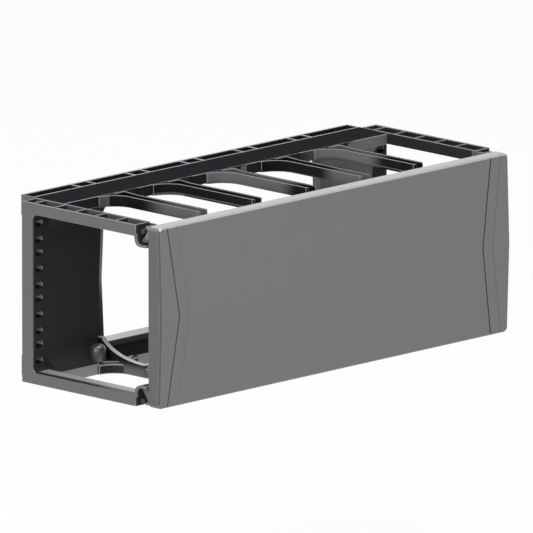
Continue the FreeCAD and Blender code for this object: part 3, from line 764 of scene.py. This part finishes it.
@dataclass
class CornerSweep:
    """Rib, boss and bead that lead a rear wing into the outer lower finger beside it.

    Attributes:
        side: -1 for the left and 1 for the right.
        height: Height of the frame.
        rib: Inner and outer side of the rib along X.
        hollow: Middle of its hollow along Y and Z.
        spread: Half axes of the hollow along Y and Z.
        back: Rear of the rib along Y, at the face of the wing.
        foot: Height of the underside of the rib and the boss.
        crest: Height of the rib.
        boss: Middle of the boss along X and Y, and its radius.
        boss_top: Height of the boss.
        dome: Share of the radius that the dome of the boss takes.
        bead: Middle of the bead along X and Y at its ends.
        bead_size: Size of the bead.
        waist: How far the bead moves outwards at half height.
        upward: Least upward part of a normal for a face that looks up.
    """

    side: int
    height: float = 0.176
    rib: Span = (0.1492, 0.1542)
    hollow: Span = (0.0032, 0.0394)
    spread: Span = (0.060, 0.0253)
    back: float = 0.0668
    foot: float = 0.0022
    crest: float = 0.0325
    boss: Triple = (0.1655, 0.0548, 0.0080)
    boss_top: float = 0.0290
    dome: float = 0.8
    bead: Span = (0.1467, 0.0686)
    bead_size: Triple = (0.0052, 0.0030, 0.1280)
    waist: float = 0.0034
    upward: float = 0.25

    def finish_piece(self, name: str, finishes: tuple[PlasticFinish, ...], width: float, segments: int) -> None:
        """Round the active primitive, give it its finishes and tie it to the frame.

        Args:
            name: Name of the piece.
            finishes: Finish of its faces, and where there are two, of the faces that look up, which take a
                painted highlight.
            width: Width of the rounding.
            segments: Facets of the rounding.
        """
        piece = bpy.context.object
        piece.name = name
        bpy.ops.object.transform_apply(location=True, rotation=True, scale=True)
        piece.data.materials.clear()
        for finish in finishes:
            piece.data.materials.append(finish.material())
        bevel = piece.modifiers.new("rounded edges", "BEVEL")
        bevel.limit_method = "ANGLE"
        bevel.angle_limit = BLOCK_ANGLE
        bevel.width = width
        bevel.segments = segments
        apply_modifier(piece, bevel)
        for face in piece.data.polygons:
            face.material_index = int(len(finishes) > 1 and face.normal.z > self.upward)
        bpy.ops.object.shade_smooth_by_angle(angle=SMOOTH_ANGLE)
        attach(piece, Rider.FRAME.value)
        log.info("%s rides on %s", name, Rider.FRAME.value)

    def build_rib(self, name: str) -> None:
        """Build the rib: a block hollowed by an elliptic cylinder."""
        middle_y, middle_z = self.hollow
        inner, outer = self.rib
        place = (self.side * (inner + outer) / 2, (self.back + middle_y) / 2, (self.crest + self.foot) / 2)
        bpy.ops.object.select_all(action="DESELECT")
        bpy.ops.mesh.primitive_cylinder_add(
            vertices=96, radius=1.0, depth=0.04, rotation=(0.0, math.pi / 2, 0.0),
            location=(place[0], middle_y, middle_z))
        tool = bpy.context.object
        tool.scale = (self.spread[1], self.spread[0], 1.0)
        bpy.ops.mesh.primitive_cube_add(
            size=1.0, location=place, scale=(outer - inner, self.back - middle_y, self.crest - self.foot))
        block = bpy.context.object
        hollow = block.modifiers.new("hollow", "BOOLEAN")
        hollow.operation = "DIFFERENCE"
        hollow.solver = "EXACT"
        hollow.object = tool
        apply_modifier(block, hollow)
        bpy.data.objects.remove(tool)
        only(block)
        self.finish_piece(name, (RIB, RIB_TOP), width=0.0006, segments=2)

    def build_boss(self, name: str) -> None:
        """Build the boss: a post with a domed end."""
        place_x, place_y, radius = self.boss
        bpy.ops.object.select_all(action="DESELECT")
        bpy.ops.mesh.primitive_cylinder_add(
            vertices=40, radius=radius, depth=self.boss_top - self.foot,
            location=(self.side * place_x, place_y, (self.boss_top + self.foot) / 2))
        self.finish_piece(name, (BOSS,), width=radius * self.dome, segments=6)

    def build_bead(self, name: str) -> None:
        """Build the bead along the inner edge of the wing, with a waist at half height."""
        place_x, place_y = self.bead
        bpy.ops.object.select_all(action="DESELECT")
        bpy.ops.mesh.primitive_cube_add(
            size=1.0, location=(self.side * place_x, place_y, self.height / 2), scale=self.bead_size)
        bead = bpy.context.object
        bpy.ops.object.mode_set(mode="EDIT")
        bpy.ops.mesh.select_all(action="SELECT")
        bpy.ops.mesh.bisect(plane_co=(0.0, 0.0, self.height / 2), plane_no=UP)
        bpy.ops.transform.translate(value=(self.side * self.waist, 0.0, 0.0))
        bpy.ops.object.mode_set(mode="OBJECT")
        only(bead)
        self.finish_piece(name, (BEAD,), width=0.0008, segments=3)

    def build(self) -> None:
        """Build the pieces of this side."""
        side = "left" if self.side < 0 else "right"
        self.build_rib(f"{side}_rib")
        self.build_boss(f"{side}_boss")
        self.build_bead(f"{side}_bead")


@dataclass
class HingedCover:
    """Ridged front cover with its knuckles.

    Attributes:
        seams: Limits of the outer and inner seam of a side along X.
        seam_area: Greatest area of a face in a seam.
        seam_end: How far the seams stay from the top and the base.
        front: Y in front of which the face and its seams lie.
        height: Height of the cover.
        end: Where the rounded ends of the face start along X.
        brow: Depth below the top of the slope above the face.
        brow_edge: Depth below the top of the rounded edge of that slope.
        corner: Depth below the top of the corner with a painted highlight.
        corner_reach: How far that corner reaches past the rounded end, along X.
        foot: Height of the plain foot of the left side.
        crease: Reach of a box round the ridge across the face.
        edge_width: Width of the rounded edges.
    """

    seams: Triple = (0.1900, 0.2133, 0.2275)
    seam_area: float = 0.00015
    seam_end: float = 0.004
    front: float = -0.0955
    height: float = 0.176
    end: float = 0.2365
    brow: float = 0.004
    brow_edge: float = 0.0016
    corner: float = 0.0055
    corner_reach: float = 0.0035
    foot: float = 0.006
    crease: float = 0.0005
    edge_width: float = 0.0004

    def seam(self, finish: PlasticFinish, start: float, end: float, left: bool) -> Patch:
        """Return the patch of one seam on one side of the cover."""
        zone = Zone((start, end), (-FAR, self.front), (0.0, self.height))
        return Patch(finish, zone.mirrored() if left else zone, area=self.seam_area)

    def face_patches(self) -> tuple[Patch, ...]:
        """Return the patches of the seams, the top and the left end, which paint light and shade onto the cover.
        """
        inner, between, outer = self.seams
        before = (-FAR, self.front)
        left_end = (-FAR, -self.end)
        bright = (-FAR, -self.end + self.corner_reach)
        return (
            # painted shade in the left outer and right inner grooves, painted light in the left inner groove
            self.seam(SEAM_SOFT_SHADE, between, outer, True), self.seam(SEAM_LIGHT, inner, between, True),
            self.seam(SEAM_SHADE, inner, between, False),
            # painted light on the top and brow, painted shade on the left end and its edge, a painted highlight
            # at the corner
            Patch(COVER_TOP, Zone(z=(self.height - MARGIN, FAR)), UP),
            Patch(COVER_BROW, Zone(y=before, z=(self.height - self.brow, FAR)), FRONT_UP),
            Patch(COVER_BROW, Zone(y=before, z=(self.height - self.brow_edge, FAR)), edges=True),
            Patch(COVER_END, Zone(x=left_end, z=(0.0, FAR)), LEFT, 0.95),
            Patch(COVER_CORNER, Zone(bright, before, (self.height - self.corner, FAR)), LEFT_FRONT_UP, 0.93),
            Patch(COVER_SIDE, Zone(left_end, before, (self.foot, FAR)), LEFT_FRONT))

    def build(self) -> None:
        """Build and place the cover and its knuckles."""
        inner, _, outer = self.seams
        seams = Zone((inner - MARGIN, outer + MARGIN), (-FAR, self.front),
                     (self.seam_end, self.height - self.seam_end))
        ridge = Zone(y=(-FAR, self.front), z=around(self.height / 2, self.crease))
        DressedNode(
            "cover", Rider.COVER, Slot.COVER_CHARCOAL, COVER_FACE, COVER_FACE, width=self.edge_width,
            flush=(seams, seams.mirrored()), creases=(ridge,), patches=self.face_patches()).place()
        for side in ("left", "right"):
            for edge in ("upper", "lower"):
                # painted highlight and shade on the knuckles
                DressedNode(f"{edge}_{side}_knuckle", Rider.COVER, Slot.COVER_CHARCOAL, KNUCKLE,
                            patches=(Patch(KNUCKLE_TOP, Zone(), UP),)).place()


@dataclass(frozen=True)
class Lamp:
    """A soft square lamp that points at the object.

    Attributes:
        name: Name of the lamp.
        place: Where it hangs, in metres.
        watts: Its power.
        size: Its side in metres.
        aim: Point that it is turned to.
    """

    name: str
    place: Triple
    watts: float
    size: float
    aim: Triple = (0.0, 0.0, 0.09)

    def build(self) -> None:
        """Add the lamp to the scene."""
        data = bpy.data.lights.new(self.name, "AREA")
        data.energy = self.watts
        data.size = self.size
        lamp = bpy.data.objects.new(self.name, data)
        bpy.context.scene.collection.objects.link(lamp)
        lamp.location = self.place
        lamp.rotation_euler = (Vector(self.aim) - Vector(self.place)).to_track_quat("-Z", "Y").to_euler()


LAMPS = (Lamp("top_lamp", (-0.3, -0.2, 2.4), 60.0, 2.2),
         Lamp("left_lamp", (-2.6, -0.4, 0.9), 17.0, 1.8),
         Lamp("front_lamp", (-0.4, -2.8, 0.8), 17.5, 2.0))


@dataclass
class Studio:
    """Camera at the photograph's angle, soft lamps and a white floor.

    Attributes:
        target: Point that the camera looks at.
        towards: Direction from the target to the camera.
        distance: Distance of the camera in metres.
        lens: Focal length in millimetres.
        sensor: Width of the sensor in millimetres.
        reach: How far the camera sees, in metres.
        ambient: Strength of the even light.
        floor_level: Height of the floor, below the cover at every pose.
        floor_size: Side of the floor in metres.
        floor_grey: How much light the floor sends back.
        floor_glow: Share of plain white in the floor as the camera sees it.
    """

    target: Vector = field(default_factory=lambda: Vector((0.0555, 0.0469, 0.0705)))
    towards: Vector = field(default_factory=lambda: Vector((-0.69723, -0.68351, 0.21607)))
    distance: float = 23.377
    lens: float = 1650.0
    sensor: float = 36.0
    reach: float = 1000.0
    ambient: float = 0.37
    floor_level: float = -0.21
    floor_size: float = 60.0
    floor_grey: float = 0.8
    floor_glow: float = 0.95

    def camera(self) -> None:
        """Add the camera and make it the scene's own."""
        data = bpy.data.cameras.new("camera")
        data.lens = self.lens
        data.sensor_width = self.sensor
        data.clip_end = self.reach
        camera = bpy.data.objects.new("camera", data)
        bpy.context.scene.collection.objects.link(camera)
        camera.location = self.target + self.towards.normalized() * self.distance
        camera.rotation_euler = (-self.towards).to_track_quat("-Z", "Y").to_euler()
        bpy.context.scene.camera = camera

    @staticmethod
    def seen_directly(nodes: bpy.types.Nodes, links: bpy.types.NodeLinks) -> bpy.types.NodeSocket:
        """Add a mask of camera, glossy and transmission rays.

        Args:
            nodes: Nodes of the tree that gets the mask.
            links: Links of that tree.

        Returns:
            The socket with the mask.
        """
        path = nodes.new("ShaderNodeLightPath")
        first = nodes.new("ShaderNodeMath")
        first.operation = "MAXIMUM"
        links.new(path.outputs["Is Camera Ray"], first.inputs[0])
        links.new(path.outputs["Is Glossy Ray"], first.inputs[1])
        both = nodes.new("ShaderNodeMath")
        both.operation = "MAXIMUM"
        links.new(first.outputs["Value"], both.inputs[0])
        links.new(path.outputs["Is Transmission Ray"], both.inputs[1])
        return both.outputs["Value"]

    def world(self) -> None:
        """Light the scene evenly and show white behind the object."""
        world = bpy.data.worlds.new("studio")
        bpy.context.scene.world = world
        world.use_nodes = True
        nodes, links = world.node_tree.nodes, world.node_tree.links
        nodes.clear()
        sink = nodes.new("ShaderNodeOutputWorld")
        even = nodes.new("ShaderNodeBackground")
        even.inputs["Strength"].default_value = self.ambient
        even.inputs["Color"].default_value = (1.0, 1.0, 1.0, 1.0)
        white = nodes.new("ShaderNodeBackground")
        white.inputs["Color"].default_value = (1.0, 1.0, 1.0, 1.0)
        mix = nodes.new("ShaderNodeMixShader")
        links.new(self.seen_directly(nodes, links), mix.inputs["Fac"])
        links.new(even.outputs["Background"], mix.inputs[1])
        links.new(white.outputs["Background"], mix.inputs[2])
        links.new(mix.outputs["Shader"], sink.inputs["Surface"])

    def floor(self) -> None:
        """Add the plain floor, which looks white, keeps a faint shadow and lies below the open cover."""
        bpy.ops.object.select_all(action="DESELECT")
        bpy.ops.mesh.primitive_plane_add(size=self.floor_size, location=(0.0, 0.0, self.floor_level))
        floor = bpy.context.object
        floor.name = "studio_floor"
        material = bpy.data.materials.new("studio_floor")
        material.use_nodes = True
        nodes, links = material.node_tree.nodes, material.node_tree.links
        nodes.clear()
        sink = nodes.new("ShaderNodeOutputMaterial")
        paint = nodes.new("ShaderNodeBsdfDiffuse")
        paint.inputs["Color"].default_value = (self.floor_grey, self.floor_grey, self.floor_grey, 1.0)
        glow = nodes.new("ShaderNodeEmission")
        share = nodes.new("ShaderNodeMath")
        share.operation = "MULTIPLY"
        share.inputs[1].default_value = self.floor_glow
        links.new(self.seen_directly(nodes, links), share.inputs[0])
        mix = nodes.new("ShaderNodeMixShader")
        links.new(share.outputs["Value"], mix.inputs["Fac"])
        links.new(paint.outputs["BSDF"], mix.inputs[1])
        links.new(glow.outputs["Emission"], mix.inputs[2])
        links.new(mix.outputs["Shader"], sink.inputs["Surface"])
        floor.data.materials.append(material)

    def build(self) -> None:
        """Build the whole studio."""
        bpy.context.scene.view_settings.view_transform = "Standard"
        self.camera()
        self.world()
        self.floor()
        for lamp in LAMPS:
            lamp.build()


def main() -> None:
    """Build the studio and every piece."""
    build_grain_group()
    build_tone_group()
    Studio().build()
    OpenFrame().build()
    for side in (-1, 1):
        CornerSweep(side).build()
    HingedCover().build()


if __name__ == "__main__":
    main()
